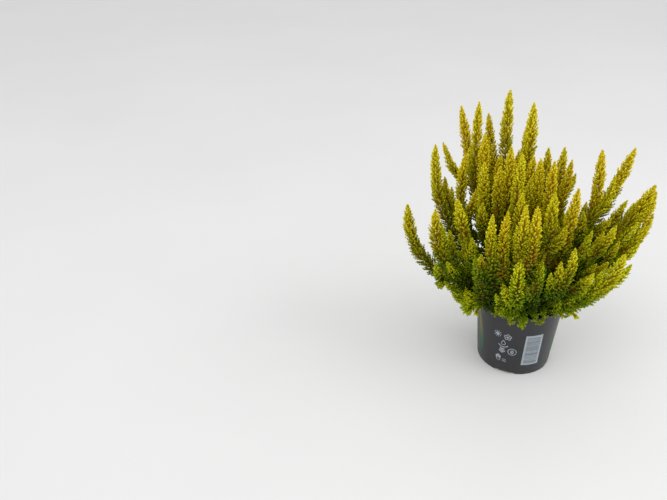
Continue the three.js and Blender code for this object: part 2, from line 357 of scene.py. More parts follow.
def ink_material(name, pale, dark):
    """Ink on plastic: slightly uneven, with the dark wall showing through where it is thin."""
    n = Nodes(name)
    patchy = n.noise(900.0, detail=3.0)
    colour = n.mix(n.span(patchy, 0.35, 0.65), dark, pale)
    return n.finish(colour, n.span(patchy, 0.3, 0.7, 0.42, 0.55), specular=0.45)


def floor_material():
    n = Nodes("pale_table")
    cloud = n.noise(2.2, detail=3.0)
    colour = n.mix(n.span(cloud, 0.3, 0.7), (0.71, 0.71, 0.71), (0.74, 0.74, 0.74))
    return n.finish(colour, n.span(cloud, 0.3, 0.7, 0.55, 0.65), specular=0.3)


# Stems: what the CAD model says about each shoot

def merged(mesh):
    """A CAD mesh's places with doubles merged, and its triangles' corners among them."""
    places = np.empty(len(mesh.vertices) * 3, np.float32)
    mesh.vertices.foreach_get("co", places)
    mesh.calc_loop_triangles()
    corners = np.empty(len(mesh.loop_triangles) * 3, np.int32)
    mesh.loop_triangles.foreach_get("vertices", corners)
    unique, index = np.unique(np.round(places.reshape(-1, 3), 5), axis=0, return_inverse=True)
    return unique.astype(float), index.ravel()[corners].reshape(-1, 3)


def centreline(node):
    """The middles of a shoot's rings, from its root to its tip."""
    places, triangles = merged(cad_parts[node].data)
    beside = [set() for _ in places]
    for triangle in triangles:
        for corner in triangle:
            beside[corner].update(triangle)
    level = [int(np.argmax(places[:, 2]))]
    seen = set(level)
    middles = []
    while level:
        middles.append(places[level].mean(0))
        level = sorted({j for i in level for j in beside[i]} - seen)
        seen.update(level)
    root_cap = len(middles) - 1
    return np.array(middles[:root_cap][::-1])


class Stem:
    """A smooth line through points that are evenly spaced along it."""

    def __init__(self, points):
        self.points = np.asarray(points, float)
        steps = np.linalg.norm(np.diff(self.points, axis=0), axis=1)
        self.length = float(steps.sum())
        middle = self.points[len(points) // 2]
        chord = self.points[-1] - self.points[0]
        bend = np.cross(middle - self.points[0], chord)
        level = np.cross(chord, UP)
        side = bend if np.linalg.norm(bend) > 1e-6 else level
        side = side if np.linalg.norm(side) > 1e-9 else np.array([1.0, 0.0, 0.0])
        self.side = unit(side)

    def at(self, share):
        """Places and directions at these shares of the way from root to tip."""
        share = np.clip(np.atleast_1d(share), 0, 1) * (len(self.points) - 1)
        i = np.minimum(share.astype(int), len(self.points) - 2)
        f = (share - i)[:, None]
        padded = np.vstack([2 * self.points[0] - self.points[1], self.points,
                            2 * self.points[-1] - self.points[-2]])
        a, b, c, d = (padded[i + k] for k in range(4))
        place = 0.5 * (2 * b + (c - a) * f + (2 * a - 5 * b + 4 * c - d) * f**2
                       + (3 * b - a - 3 * c + d) * f**3)
        way = 0.5 * ((c - a) + 2 * (2 * a - 5 * b + 4 * c - d) * f + 3 * (3 * b - a - 3 * c + d) * f**2)
        return place, unit(way)

    def frames(self, share):
        """Places, directions and two directions across at these shares."""
        place, along = self.at(share)
        across = unit(np.cross(along, self.side))
        return place, along, across, np.cross(along, across)


# Foliage

LEAF_LENGTH = 2.2 * MM
LEAF_WIDTH = 1.5 * MM
LEAF_PAIR_STEP = 1.5 * MM
CORE_RADIUS = 1.0 * MM
STEM_SHARE_OF_MAP = 0.04
MAIN_STEM_RADIUS = 1.0 * MM
FORK_STEM_RADIUS = 0.7 * MM
TWIG_STEM_RADIUS = 0.5 * MM
LOBE_STEM_RADIUS = 0.4 * MM
TURN_BETWEEN_PAIRS = np.pi / 2 + 0.21
# How much daylight the innermost side shoots have: see daylight
HEART_EDGE = (0.42, 0.56)

# An opposite pair of leaves is one wedge: the points of the two leaves, and the ends of their common foot
PAIR_FACES = np.array([[0, 3, 2], [1, 2, 3], [0, 2, 1], [0, 1, 3]])
PAIR_MAP = np.array([[0.5, 0.96], [0.5, 0.04], [0.04, 0.5], [0.96, 0.5]])

# A spindle: its two ends, and the three corners round its belly
SPINDLE_FACES = np.array([[0, 2, 3], [0, 3, 4], [0, 4, 2], [1, 3, 2], [1, 4, 3], [1, 2, 4]])


def add_pairs(parts, at, ahead, ray, splay, size, **values):
    """Opposite pairs of leaves round a shoot that runs ahead. Ray is the way one leaf of each pair leans.

    Values are two numbers for each pair: at the middle and at the points.
    """
    count = len(at)
    side = np.cross(ahead, ray)
    length, width = size * LEAF_LENGTH, size * LEAF_WIDTH
    forward = (np.cos(splay) * length)[:, None] * ahead
    outward = (np.sin(splay) * length)[:, None] * ray
    half = (0.5 * width)[:, None] * side
    places = np.stack([at + forward + outward, at + forward - outward, at + half, at - half], 1)
    faces = PAIR_FACES[None] + 4 * np.arange(count)[:, None, None]
    grid = int(math.ceil(math.sqrt(count)))
    cell = np.stack([np.arange(count) % grid, np.arange(count) // grid], 1)
    maps = (cell[:, None] + PAIR_MAP[None]) / grid * [1.0, 1 - STEM_SHARE_OF_MAP]
    spread = {}
    for name, (middle, point) in values.items():
        middle, point = np.broadcast_to(middle, count), np.broadcast_to(point, count)
        spread[name] = np.stack([point, point, middle, middle], 1).ravel()
    parts.add(places.reshape(-1, 3), faces.reshape(-1, 3), maps.reshape(-1, 2), 0, False, **spread)


def add_tube(parts, places, across, over, radii, sides, slot, map_low, map_high, **values):
    """A closed tube with a flat start and a pointed end. Values are one number per ring."""
    rings = len(places)
    turn = np.arange(sides) * 2 * np.pi / sides
    ring = places[:, None] + radii[:, None, None] * around(turn, across[:, None], over[:, None])
    vertices = np.vstack([ring.reshape(-1, 3), places[:1], places[-1:]])
    i, j = np.meshgrid(np.arange(rings - 1), np.arange(sides), indexing="ij")
    a, b = i * sides + j, i * sides + (j + 1) % sides
    c, d = a + sides, b + sides
    walls = np.concatenate([np.stack([a, b, d], -1).reshape(-1, 3), np.stack([a, d, c], -1).reshape(-1, 3)])
    k = np.arange(sides)
    start, end = rings * sides, rings * sides + 1
    cap_low = np.stack([np.full(sides, start), (k + 1) % sides, k], 1)
    last = (rings - 1) * sides
    cap_high = np.stack([np.full(sides, end), last + k, last + (k + 1) % sides], 1)
    u = np.repeat(np.linspace(0.02, 0.98, rings), sides)
    to_and_fro = np.abs(np.arange(sides) * 2 / sides - 1)
    v = np.tile(map_low + (map_high - map_low) * (0.1 + 0.8 * to_and_fro), rings)
    middle = (map_low + map_high) / 2
    maps = np.vstack([np.stack([u, v], 1), [[0.005, middle]], [[0.995, middle]]])
    spread = {name: np.concatenate([np.repeat(value, sides), value[:1], value[-1:]])
              for name, value in values.items()}
    parts.add(vertices, np.concatenate([walls, cap_low, cap_high]), maps, slot, True, **spread)


class Look:
    """What sets one spire apart from the next. A low one is greener than one high up in the sun.

    Fullness is how long its side shoots are, density how close they stand, bare how much of the stem has
    none, shade how strongly painted shade darkens it below its tip, and fresh how lime green it is.
    """

    def __init__(self, rng, tip_height, fullness=1.0, density=1.0, bare=0.12, older=0.0, shade=1.0,
                 fresh=0.0):
        low_down = 1 - smooth(tip_height, 105 * MM, 250 * MM)
        high_up = smooth(tip_height, 225 * MM, 300 * MM)
        self.rng = rng
        self.fullness = fullness * rng.uniform(0.94, 1.1)
        self.older = older + 0.08 * low_down - 0.07 * high_up + rng.uniform(-0.05, 0.05)
        warmer = np.clip(0.5 - 0.5 * low_down + 0.1 * high_up - 0.8 * older + rng.uniform(-0.2, 0.22), 0, 1)
        self.warmer = (1 - fresh) * warmer - fresh
        self.density = density
        self.bare = bare
        self.shade = shade


def leaf_age_and_shade(left, at, shade):
    """How old and how shaded leaves look: older by how far below the tip they are, in millimetres, and
    darker with painted shade low down and near the plant's middle.
    """
    outwards = np.linalg.norm(at[:, :2], axis=1)
    # Painted shade: darker low down, and less so towards the outside of the bush
    painted_shade = (1 - smooth(at[:, 2], 105 * MM, 265 * MM)) * (1 - 0.5 * smooth(outwards, 65 * MM, 120 * MM))
    return 0.44 * smooth(left, 5, 105) + 0.58 * shade * painted_shade * smooth(left, 4, 42)


def daylight(at):
    """How much light reaches a place in the bush, from 0 in its heart to 1 and more at its outside."""
    outwards = np.linalg.norm(at[:, :2], axis=1) / (55 * MM)
    upwards = (at[:, 2] - POT_HEIGHT) / (110 * MM)
    return np.maximum(outwards, upwards)


def side_shoot_step_mm(left):
    return 0.72 + 0.55 * smooth(left, 45, 140)


def side_shoot_lean_deg(left):
    """How far side shoots lean from the stem: closed at the tip, and open low down."""
    return 26 + 19 * smooth(left, 0, 40) + 7 * smooth(left, 55, 110)


def side_shoot_length_mm(left):
    """How long side shoots are: short at the tip, soon full, and a little longer low down."""
    return 0.9 + 9.6 * (1 - np.exp(-(left / 16)**1.2)) + 1.8 * smooth(left, 50, 90)


def side_shoot_places(stem, look):
    """Distances from the root at which pairs of side shoots stand, outside the dark heart of the bush."""
    found = []
    place = stem.length * look.bare
    while place < stem.length - 1.5 * MM:
        found.append(place)
        place += side_shoot_step_mm((stem.length - place) / MM) * MM / look.density
    found = np.array(found)
    at, _ = stem.at(found / stem.length)
    return found[daylight(at) > look.rng.uniform(*HEART_EDGE, len(found))]


def side_shoots(stem, look):
    """A stem's side shoots: how far below its tip, a direction across the stem, and their own lines."""
    rng = look.rng
    from_root = side_shoot_places(stem, look)
    pairs = len(from_root)
    total = 2 * pairs
    from_root = np.repeat(from_root, 2) + rng.uniform(-0.4, 0.4, total) * MM
    left = (stem.length - from_root) / MM
    turn = np.repeat(np.arange(pairs) * TURN_BETWEEN_PAIRS, 2) + np.tile([0.0, np.pi], pairs)
    turn += rng.normal(0, 0.3, total)
    place, along, across, over = stem.frames(from_root / stem.length)
    out = around(turn, across, over)
    lean = np.radians(side_shoot_lean_deg(left) + rng.normal(0, 4, total))
    way = around(lean, along, out)
    length = side_shoot_length_mm(left)
    length *= MM * look.fullness * rng.uniform(0.84, 1.08, total)
    bend = rng.uniform(0.2, 0.45, total) * (1 - 0.5 * smooth(left, 60, 140))
    return left, over, (place, way, along - way, out, length, bend)


def spire(parts, stem, look, stem_radius=MAIN_STEM_RADIUS):
    """One leafy spire: its stem, pairs of side shoots up it, and leaves on all of them."""
    rng = look.rng
    left, over, core = side_shoots(stem, look)
    place, _, _, out, length, _ = core
    total = len(place)
    count = np.maximum(2, np.round(length / LEAF_PAIR_STEP)).astype(int)
    owner = np.repeat(np.arange(total), count)
    order = np.concatenate([np.arange(k) for k in count])
    share = (order + 0.45) / count[owner]
    seen = share > (0.45 - 0.3 * smooth(left, 40, 100))[owner]
    owner, order, share = owner[seen], order[seen], share[seen]
    at, ahead = along_shoot(core, owner, share)
    first = unit(np.cross(ahead, over[owner] + 0.3 * out[owner]))
    roll = rng.uniform(0, np.pi, total)[owner] + (order % 2) * np.pi / 2
    ray = around(roll, first, np.cross(ahead, first))
    leaves = len(owner)
    splay = np.radians(rng.uniform(40, 60, leaves) * (1.05 - 0.4 * share**2))
    size = rng.uniform(0.88, 1.12, leaves) * (1.08 - 0.22 * share)
    size *= (0.6 + 0.4 * smooth(left, 0, 16))[owner]
    age = np.clip(leaf_age_and_shade(left, place, look.shade) + look.older + rng.normal(0, 0.04, total), 0, 1)
    ages = age[owner] + 0.10 * (1 - share)
    whims = rng.uniform(0, 1, leaves)
    # Reach is lower at each leaf's foot than at its points, so the foot is darker: partly painted shade
    add_pairs(parts, at, ahead, ray, splay, size, age=(ages, ages - 0.06),
              reach=(share - 0.3, share + 0.25), whim=(whims, whims), warm=(look.warmer, look.warmer))
    add_stem_leaves(parts, stem, look)
    add_cores(parts, core, age)
    add_stem(parts, stem, stem_radius)


def along_shoot(core, owner, share):
    """Places and directions on side shoots, which start one way and bend towards the stem's direction."""
    place, way, to_stem, out, length, bend = core
    turned = (bend[owner] * share)[:, None] * to_stem[owner]
    at = place[owner] + (length[owner] * share)[:, None] * (way[owner] + 0.5 * turned)
    return at, unit(way[owner] + turned)


def add_stem_leaves(parts, stem, look):
    """Leaves pressed to the top of the stem itself, up to its very tip."""
    start = max(stem.length * look.bare, stem.length - 35 * MM)
    steps = np.append(np.arange(start, stem.length - 1.0 * MM, 1.3 * MM), stem.length - 0.9 * MM)
    at, ahead, beside, above = stem.frames(steps / stem.length)
    turn = np.arange(len(steps)) * np.pi / 2
    ray = around(turn, beside, above)
    left = (stem.length - steps) / MM
    splay = np.radians(18 + 20 * smooth(left, 0, 8))
    ages = np.clip(leaf_age_and_shade(left, at, look.shade) + look.older, 0, 1)
    # Stem leaves below the tip get the darker inner colours: partly older leaves, partly painted shade
    reach = np.where(left < 14, 0.8, 0.15)
    whims = look.rng.uniform(0, 1, len(at))
    add_pairs(parts, at, ahead, ray, splay, 0.6 + 0.35 * smooth(left, 0, 10), age=(ages, ages),
              reach=(reach - 0.1, reach + 0.25), whim=(whims, whims), warm=(look.warmer, look.warmer))


def add_cores(parts, core, age):
    """The leafy core of each side shoot: a three-sided spindle that its leaves hide."""
    place, way, to_stem, out, length, bend = core
    count = len(place)
    across = unit(np.cross(out, way))
    over = np.cross(way, across)
    thick = np.minimum(CORE_RADIUS, 0.2 * length)[:, None, None]
    turn = np.arange(3) * 2 * np.pi / 3
    every = np.arange(count)
    tip, _ = along_shoot(core, every, np.full(count, 0.95))
    belly, _ = along_shoot(core, every, np.full(count, 0.5))
    ring = belly[:, None] + thick * around(turn, across[:, None], over[:, None])
    foot = place - 0.2 * MM * way
    places = np.concatenate([tip[:, None], foot[:, None], ring], 1).reshape(-1, 3)
    faces = (SPINDLE_FACES[None] + 5 * every[:, None, None]).reshape(-1, 3)
    middle = (every + 0.5) / count
    half = 0.4 / count
    low = 1 - STEM_SHARE_OF_MAP
    tall = STEM_SHARE_OF_MAP * 0.4
    corners = [(0.0, 0.9), (0.0, 0.1), (-half, 0.5), (half, 0.5), (0.0, 0.45)]
    maps = np.stack([np.stack([middle + x, np.full(count, low + y * tall)], 1) for x, y in corners], 1)
    reach = np.tile([0.8, 0.1, 0.4, 0.4, 0.4], count)
    parts.add(places, faces, maps.reshape(-1, 2), 0, False,
              age=np.repeat(age, 5), reach=reach, whim=0.5, warm=0.3)


def add_stem(parts, stem, radius):
    rings = max(6, int(stem.length / (9 * MM)))
    share = np.linspace(0, 1, rings)
    place, along, across, over = stem.frames(share)
    radii = radius * (1 - 0.72 * share) * (1 + 0.25 * smooth(-share, -0.08, 0.0))
    radii[-1] = 0.12 * MM
    age = np.clip(1.05 - share * 0.9, 0, 1)
    low = 1 - STEM_SHARE_OF_MAP * 0.5
    add_tube(parts, place, across, over, radii, 6, 1, low, 1.0, age=age)


def swayed(points, rng, amount):
    """The same line with a slow sway that leaves both ends where they are."""
    share = np.linspace(0, 1, len(points))[:, None]
    phase = rng.uniform(0, 2 * np.pi, 3)[None]
    wave = np.sin(share * np.pi) * np.sin(share * rng.uniform(3.5, 6.5, 3)[None] + phase)
    return points + amount * wave


def grown(start, first_way, last_way, length, steps=10):
    """Points of a twig that starts one way and bends to another."""
    share = smooth((np.arange(steps) + 0.5) / steps, 0, 0.85)[:, None]
    ways = unit(first_way * (1 - share) + last_way * share)
    return np.vstack([start, start + np.cumsum(ways, 0) * length / steps])


FORK_SPACING = 34 * MM
FORK_BELOW_TIP = 26 * MM
FORKS_FROM, FORKS_TO = 0.3, 0.66
SHORTEST_FORK = 22 * MM
FORK_TURN = 2.4
FRONT_SHADE_Y = -35 * MM
LISTED_FULLNESS = 1.08
FORK_FULLNESS = 0.92
STEM_SWAY = 1.6 * MM
SHOOT = "shoot_"

# Lesser spires in sight, by the shoot that they leave: how far up it, the tip in millimetres, and the
# elbow of one that starts low and then stands up
LESSER_SPIRES = {
    "left_outer": [(0.4, (-109, -30, 212)), (0.3, (-96, -15, 193))],
    "left_low": [(0.3, (-112, -28, 158)), (0.15, (-86, -12, 150)), (0.35, (-106, -30, 131))],
    "left_rim_b": [(0.3, (-83, -20, 153)), (0.35, (-101, -38, 165)), (0.15, (-101, -30, 134))],
    "left_rim_c": [
        (0.2, (-92, -32, 121)), (0.3, (-82, -31, 108)), (0.25, (-87, -26, 127)), (0.4, (-79, -30, 112)),
        (0.6, (-76, -30, 126), (-72, -32, 88)),
    ],
    "left_front": [(0.4, (-85, -42, 200)), (0.34, (-77, -45, 199))],
    "front_fork_b": [(0.45, (-48, -72, 207))],
    "front_low": [
        (0.34, (-46, -73, 158)), (0.25, (-50, -66, 138)), (0.16, (-47, -60, 118)), (0.1, (-38, -56, 106)),
    ],
    "left_inner": [(0.45, (-66, 0, 235))],
    "mid_a": [(0.4, (-63, -20, 228))],
    "right_front": [(0.45, (9, -84, 189)), (0.3, (2, -80, 173))],
    "right_rim": [(0.4, (46, -76, 152))],
    "right_low": [
        (0.12, (26, -60, 122)), (0.16, (38, -68, 141)), (0.33, (61, -76, 173)), (0.5, (91, -70, 174)),
        (0.4, (79, -72, 160)), (0.28, (63, -68, 138)), (0.2, (49, -62, 120)), (0.35, (60, -74, 147)),
    ],
    "right_side": [
        (0.4, (68, -40, 198)), (0.35, (56, -50, 187)), (0.3, (67, -66, 175)), (0.15, (58, -60, 170)),
    ],
    "right_fork": [(0.4, (83, -20, 203))],
    "right_lower": [(0.45, (108, -45, 185)), (0.3, (85, -45, 188)), (0.6, (121, -34, 215))],
    "right_outer": [
        (0.72, (120, -32, 240)), (0.6, (121, -33, 229)), (0.5, (113, -30, 222)), (0.4, (104, -38, 207)),
    ],
}

# Shoots that differ from the rest: see Look
CHARACTER = {
    "front_low": dict(fullness=1.2, older=0.12, shade=0.15, density=1.15, fresh=0.75),
    "front_inner": dict(older=0.14),
    "front_right": dict(older=0.12, shade=1.2),
    "front_twin_a": dict(shade=1.3),
    "front_twin_b": dict(shade=1.3),
    "front_short": dict(fullness=0.95, older=0.3, shade=0.6),
    "left_low": dict(fullness=1.15, density=1.2, shade=0.5),
    "left_outer": dict(fullness=1.12),
    "left_front": dict(fullness=1.08),
    "left_rim_a": dict(fullness=1.15, older=0.05),
    "left_rim_b": dict(shade=0.6, fresh=0.25),
    "left_rim_c": dict(fullness=1.6, older=0.02, shade=0.15, fresh=0.7),
    "right_low": dict(fullness=1.2, older=-0.06, shade=0.3, fresh=0.1),
    "right_lower": dict(fullness=1.2),
    "right_outer": dict(fullness=1.3, density=1.15),
    "right_fork": dict(fullness=1.15, density=1.2),
    "right_tall": dict(fullness=0.95, density=1.2),
}

# Twigs that hang over the rim: how far up the shoot, the tip in millimetres, fullness and how much older
RIM_TWIGS = {
    "left_rim_c": [(0.45, (-76, -32, 87), 1.7, 0.28), (0.35, (-64, -32, 84), 1.4, 0.3)],
    "front_low": [
        (0.3, (-41, -41, 87), 1.2, 0.44), (0.22, (-27, -52, 84), 1.6, 0.42),
        (0.16, (-12, -57, 79), 1.6, 0.4),
    ],
    "front_short": [(0.2, (3, -58, 86), 1.1, 0.5)],
    "right_front": [(0.2, (12, -57, 88), 1.1, 0.5)],
    "right_low": [(0.2, (37, -48, 85), 1.1, 0.3), (0.15, (53, -56, 92), 1.5, 0.14)],
    "back_outer_2": [(0.2, (38, 42, 88), 1.4, 0.45)],
    "back_outer_4": [(0.2, (3, 59, 88), 1.4, 0.45)],
    "back_outer_6": [(0.2, (-35, 48, 88), 1.4, 0.45)],
}
RIM_CLEARANCE = 4.5 * MM
RIM_LOBES_AT = (0.6, 0.74, 0.86)


def allowed(points):
    """Whether a twig stays out of the pot and inside the plant's own box."""
    outside = np.linalg.norm(points[:, :2], axis=1) > POT_TOP_RADIUS + 3 * MM
    over_rim = points[:, 2] > POT_HEIGHT + 6 * MM
    low, high = np.array(cad_low) - 5 * MM, np.array(cad_high) + 5 * MM
    inside_box = ((points > low) & (points < high)).all()
    return bool((outside | over_rim).all() and inside_box)


def forks(stem, rng):
    """Lesser spires that leave a shoot on its way up, and end well below its tip."""
    made = []
    turn = rng.uniform(0, 2 * np.pi)
    for from_root in np.arange(stem.length * FORKS_FROM, stem.length * FORKS_TO, FORK_SPACING):
        (place,), (along,), (across,), (over,) = stem.frames(from_root / stem.length)
        turn += FORK_TURN
        out = math.cos(turn) * across + math.sin(turn) * over
        room = stem.length - from_root - FORK_BELOW_TIP
        length = min(room, rng.uniform(45, 75) * MM)
        lean = math.radians(rng.uniform(36, 50))
        first_way = math.cos(lean) * along + math.sin(lean) * out
        last_way = unit(stem.at(1.0)[1][0] + 0.25 * out + 0.3 * UP)
        points = grown(place, first_way, last_way, length)
        if length > SHORTEST_FORK and allowed(points[2:]):
            made.append(Stem(points))
    return made


def bezier(a, b, c, d, steps=10):
    """Points of a curve from a to d that leaves towards b and arrives from c."""
    t = np.linspace(0, 1, steps + 1)[:, None]
    return (1 - t)**3 * a + 3 * (1 - t)**2 * t * b + 3 * (1 - t) * t**2 * c + t**3 * d


def listed_spires(name, stem):
    """The lesser spires of a shoot that are listed above."""
    made = []
    for share, tip, *elbow in LESSER_SPIRES.get(name, []):
        (start,), (along,), _, _ = stem.frames(share)
        tip = np.array(tip) * MM
        span = np.linalg.norm(tip - start)
        last_way = unit(unit(tip - start) + UP)
        bends = (start + along * span * 0.4, tip - last_way * span * 0.4)
        if elbow:
            bends = np.array(elbow * 2) * MM
        made.append(Stem(bezier(start, *bends, tip)))
    return made


def rim_twig(stem, share, tip):
    """A twig from low on a shoot, up over the pot's rim and down outside it."""
    (start,), (along,), _, _ = stem.frames(share)
    tip = np.array(tip) * MM
    outwards = unit(np.array([tip[0], tip[1], 0.0]))
    over_rim = outwards * (POT_TOP_RADIUS + 2 * MM) + UP * (POT_HEIGHT + RIM_CLEARANCE + 8 * MM)
    return Stem(bezier(start, start + along * 8 * MM, over_rim, tip))


def rim_lobes(twig, rng):
    """Short shoots that spread to both sides near the end of a rim twig."""
    outwards = unit(twig.at(1.0)[0][0] * [1, 1, 0])
    side = np.cross(outwards, UP)
    made = []
    for share, way in zip(RIM_LOBES_AT, rng.choice([-1, 1]) * np.array([1, -1, 1])):
        (start,), (along,), _, _ = twig.frames(share)
        sideways = way * rng.uniform(0.7, 1.2) * side
        first_way = unit(along + sideways + 0.5 * outwards)
        last_way = unit(0.3 * along + sideways + rng.uniform(0, 0.5) * outwards + rng.uniform(0, 0.7) * UP)
        made.append(Stem(grown(start, first_way, last_way, rng.uniform(5, 10) * MM, steps=5)))
    return made


def add_forks(parts, name, stem, rng, shade=1.0, fresh=0.0):
    """A shoot's lesser spires, as listed for it or else as it would fork by itself."""
    listed = listed_spires(name, stem)
    for fork in listed or forks(stem, rng):
        tip = fork.points[-1]
        older = 0.05 + 0.22 * (1 - smooth(tip[2], 110 * MM, 200 * MM))
        # Painted shade: unlisted forks low at the front are made older, and so darker
        if not listed and tip[1] < FRONT_SHADE_Y:
            older += 0.3 * (1 - smooth(tip[2], 190 * MM, 260 * MM))
        fullness = LISTED_FULLNESS if listed else FORK_FULLNESS
        look = Look(rng, tip[2], fullness, bare=0.06, older=older, shade=shade, fresh=fresh)
        spire(parts, fork, look, FORK_STEM_RADIUS)


def add_rim_twigs(parts, name, stem, rng, fresh=0.0):
    """A shoot's twigs over the rim, each with its lobes."""
    for share, tip, fullness, older in RIM_TWIGS.get(name, []):
        twig = rim_twig(stem, share, tip)
        look = Look(rng, tip[2] * MM, fullness, bare=0.3, older=older, fresh=fresh)
        spire(parts, twig, look, TWIG_STEM_RADIUS)
        for lobe in rim_lobes(twig, rng):
            look = Look(rng, lobe.points[-1, 2], fullness, bare=0.1, older=older - 0.05, fresh=fresh)
            spire(parts, lobe, look, LOBE_STEM_RADIUS)


def shoots(*materials):
    """A leafy piece in place of each CAD shoot. The stems of all shoots are given back."""
    stems = []
    for node in sorted(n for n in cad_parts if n.startswith(SHOOT)):
        name = node.removeprefix(SHOOT)
        rng = rng_for(node)
        stem = Stem(swayed(centreline(node), rng, STEM_SWAY))
        stems.append(stem)
        parts = Parts()
        character = CHARACTER.get(name, {})
        fresh = character.get("fresh", 0.0)
        spire(parts, stem, Look(rng, stem.points[-1, 2], **character))
        add_forks(parts, name, stem, rng, character.get("shade", 1.0), fresh)
        add_rim_twigs(parts, name, stem, rng, fresh)
        piece("heather_" + name, parts.mesh(node, materials), "foliage", node)
    return stems


# Pot

def wall_radius(height):
    """Radius of the pot's outside, without the lip."""
    top = POT_TOP_RADIUS - LIP_PROUD
    return POT_BASE_RADIUS + (top - POT_BASE_RADIUS) * height / POT_HEIGHT


def turned(profile, sides):
    """A closed shape of revolution about Z, from points that start and end on the axis."""
    made = bmesh.new()
    rings = []
    for radius, height in profile:
        if radius < 1e-7:
            rings.append([made.verts.new((0, 0, height))])
            continue
        turns = (2 * np.pi * i / sides for i in range(sides))
        rings.append([made.verts.new((radius * math.cos(t), radius * math.sin(t), height)) for t in turns])
    for lower, upper in zip(rings, rings[1:]):
        for i in range(sides):
            j = (i + 1) % sides
            corners = [ring[k % len(ring)] for ring, k in ((lower, i), (lower, j), (upper, j), (upper, i))]
            made.faces.new(list(dict.fromkeys(corners)))
    bmesh.ops.recalc_face_normals(made, faces=made.faces)
    return made


def arc(centre, radius, start_deg, end_deg, steps):
    turns = np.radians(np.linspace(start_deg, end_deg, steps + 1))
    return [(centre[0] + radius * math.cos(t), centre[1] + radius * math.sin(t)) for t in turns]


def pot_profile():
    """The pot's section, from the middle of its underside round the lip to the middle of its floor."""
    floor = FOOT_HEIGHT + POT_WALL
    under_lip = POT_HEIGHT - LIP_HEIGHT
    pad_top = PAD_RADIUS - POT_WALL / 2
    lip = LIP_PROUD / 2
    foot_at = (POT_BASE_RADIUS - FOOT_BEVEL, FOOT_BEVEL)
    wall_heights = np.linspace(FOOT_BEVEL, under_lip, 14)
    return [
        (0, 0),
        (PAD_RADIUS, 0),
        (PAD_RADIUS + PAD_SLOPE, FOOT_HEIGHT),
        (POT_BASE_RADIUS - FOOT_WIDTH - FOOT_BEVEL, FOOT_HEIGHT),
        (POT_BASE_RADIUS - FOOT_WIDTH, 0),
        *arc(foot_at, FOOT_BEVEL, -90, 0, 4),
        *[(wall_radius(z), z) for z in wall_heights[1:]],
        (POT_TOP_RADIUS - lip * 0.6, under_lip + LIP_PROUD * 0.6),
        (POT_TOP_RADIUS, under_lip + LIP_PROUD * 1.4),
        *arc((POT_TOP_RADIUS - lip, POT_HEIGHT - lip), lip, 0, 90, 4),
        *arc((wall_radius(POT_HEIGHT) - POT_WALL + lip, POT_HEIGHT - lip), lip, 90, 180, 3),
        *[(wall_radius(z) - POT_WALL, z) for z in np.linspace(POT_HEIGHT - LIP_HEIGHT, floor, 8)],
        (pad_top + PAD_SLOPE, floor),
        (pad_top, POT_WALL),
        (0, POT_WALL),
    ]


def foot_arch():
    """A low arch with round upper corners, lying along X through the foot ring."""
    half, top = ARCH_WIDTH / 2, FOOT_HEIGHT - ARCH_CORNER
    outline = [(-half, -MM), (half, -MM)]
    outline += arc((half - ARCH_CORNER, top), ARCH_CORNER, 0, 90, 6)
    outline += arc((ARCH_CORNER - half, top), ARCH_CORNER, 90, 180, 6)
    near = POT_BASE_RADIUS + FOOT_WIDTH - ARCH_DEPTH
    made = bmesh.new()
    ends = [[made.verts.new((x, y, z)) for y, z in outline] for x in (near, near + ARCH_DEPTH)]
    made.faces.new(ends[0])
    made.faces.new(ends[1])
    for i in range(len(outline)):
        j = (i + 1) % len(outline)
        made.faces.new((ends[0][i], ends[0][j], ends[1][j], ends[1][i]))
    bmesh.ops.recalc_face_normals(made, faces=made.faces)
    return made


def drain_hole(distance):
    height = FOOT_HEIGHT + POT_WALL / 2
    made = bmesh.new()
    place = Matrix.Translation((distance, 0, height))
    bmesh.ops.create_cone(made, cap_ends=True, segments=40, radius1=HOLE_RADIUS, radius2=HOLE_RADIUS,
                          depth=POT_WALL + 2 * MM, matrix=place)
    return made


def loose(name, made):
    """An object for a mesh that is still being worked on."""
    return linked(name, solid(name, made))


def cut(body, cutters):
    """The body's mesh with the cutters taken out of it."""
    for cutter in cutters:
        boolean = body.modifiers.new("cut", "BOOLEAN")
        boolean.object = cutter
        boolean.operation = "DIFFERENCE"
        boolean.solver = "EXACT"
    evaluated = body.evaluated_get(bpy.context.evaluated_depsgraph_get())
    mesh = bpy.data.meshes.new_from_object(evaluated)
    for spare in (body, *cutters):
        bpy.data.objects.remove(spare)
    return mesh


def pot():
    cutters = []
    for i in range(ARCH_COUNT):
        turn = math.radians(ARCH_AZIMUTH_DEG) + 2 * math.pi * i / ARCH_COUNT
        between = turn + math.pi / ARCH_COUNT
        for shape, angle in ((foot_arch(), turn), (drain_hole(OUTER_HOLES_AT), turn),
                             (drain_hole(INNER_HOLES_AT), between)):
            cutter = loose("cutter", shape)
            cutter.data.transform(Matrix.Rotation(angle, 4, "Z"))
            cutters.append(cutter)
    mesh = cut(loose("pot_body", turned(pot_profile(), POT_SIDES)), cutters)
    mesh.shade_smooth()
    mesh.set_sharp_from_angle(angle=math.radians(32))
    mesh.materials.clear()
    mesh.materials.append(pot_material())
    piece("plastic_pot", mesh, "pot", "pot")


# Prints on the pot: thin bodies that follow its wall. A place there is a distance along it and a height.

INK_THICKNESS = 0.12 * MM
INK_SUNK = 0.03 * MM


def on_wall(along, height, azimuth_deg, proud):
    """Places on the wall, along from a line at this azimuth."""
    radius = wall_radius(height)
    turn = np.radians(azimuth_deg) + along / radius
    return np.stack([(radius + proud) * np.cos(turn), (radius + proud) * np.sin(turn), height], -1)


